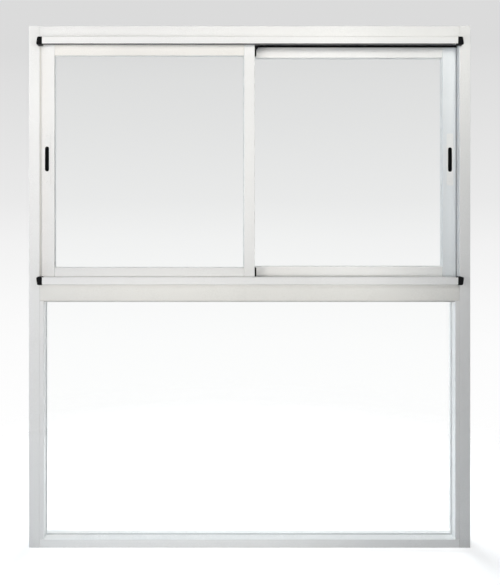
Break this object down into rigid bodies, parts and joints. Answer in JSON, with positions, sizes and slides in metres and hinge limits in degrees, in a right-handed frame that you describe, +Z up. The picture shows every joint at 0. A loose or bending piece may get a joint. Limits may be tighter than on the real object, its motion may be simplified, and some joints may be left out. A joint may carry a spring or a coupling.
{
  "type": "sliding window",
  "caption": "Aluminium-framed window with sliding glazed sashes above a fixed glazed light, and screen guides on its outer face.",
  "frame": {"origin": "middle of the sill's underside, on the base plane of the whole window", "axes": "+Z up the window's height; -Y out of the outside face that the picture shows; +X to the right seen from outside"},
  "size_m": [1.1, 0.084, 1.3],
  "materials": {
    "white_coating": "white powder coat, satin",
    "clear_glass": "clear float glass",
    "black_plastic": "moulded, fine texture",
    "grey_rubber": "matte extruded gasket",
    "black_pile": "woven pile",
    "white_nylon": "moulded nylon"
  },
  "bodies": {
    "root": {"left_jamb": "white_coating", "right_jamb": "white_coating", "head": "white_coating", "transom": "white_coating", "sill": "white_coating", "left_glazing_liner": "white_coating", "right_glazing_liner": "white_coating", "left_glazing_bead": "white_coating", "right_glazing_bead": "white_coating", "top_glazing_bead": "white_coating", "bottom_glazing_bead": "white_coating", "upper_screen_guide": "white_coating", "lower_screen_guide": "white_coating", "fixed_glass": "clear_glass", "fixed_gasket": "grey_rubber", "left_sash_outer_stile": "white_coating", "left_sash_meeting_stile": "white_coating", "left_sash_top_rail": "white_coating", "left_sash_bottom_rail": "white_coating", "left_sash_lock_plate": "white_coating", "left_sash_glass": "clear_glass", "left_sash_gasket": "grey_rubber", "left_sash_left_roller": "white_nylon", "left_sash_right_roller": "white_nylon", "left_sash_outside_lock": "black_plastic", "left_sash_inside_lock": "black_plastic", "right_sash_outer_stile": "white_coating", "right_sash_meeting_stile": "white_coating", "right_sash_top_rail": "white_coating", "right_sash_bottom_rail": "white_coating", "right_sash_lock_plate": "white_coating", "right_sash_glass": "clear_glass", "right_sash_gasket": "grey_rubber", "right_sash_left_roller": "white_nylon", "right_sash_right_roller": "white_nylon", "right_sash_outside_lock": "black_plastic", "right_sash_inside_lock": "black_plastic", "top_seal_block": "black_plastic", "bottom_seal_block": "black_plastic", "upper_left_end_cap": "black_plastic", "upper_right_end_cap": "black_plastic", "lower_left_end_cap": "black_plastic", "lower_right_end_cap": "black_plastic", "head_pile_strip": "black_pile"}
  },
  "joints": []
}
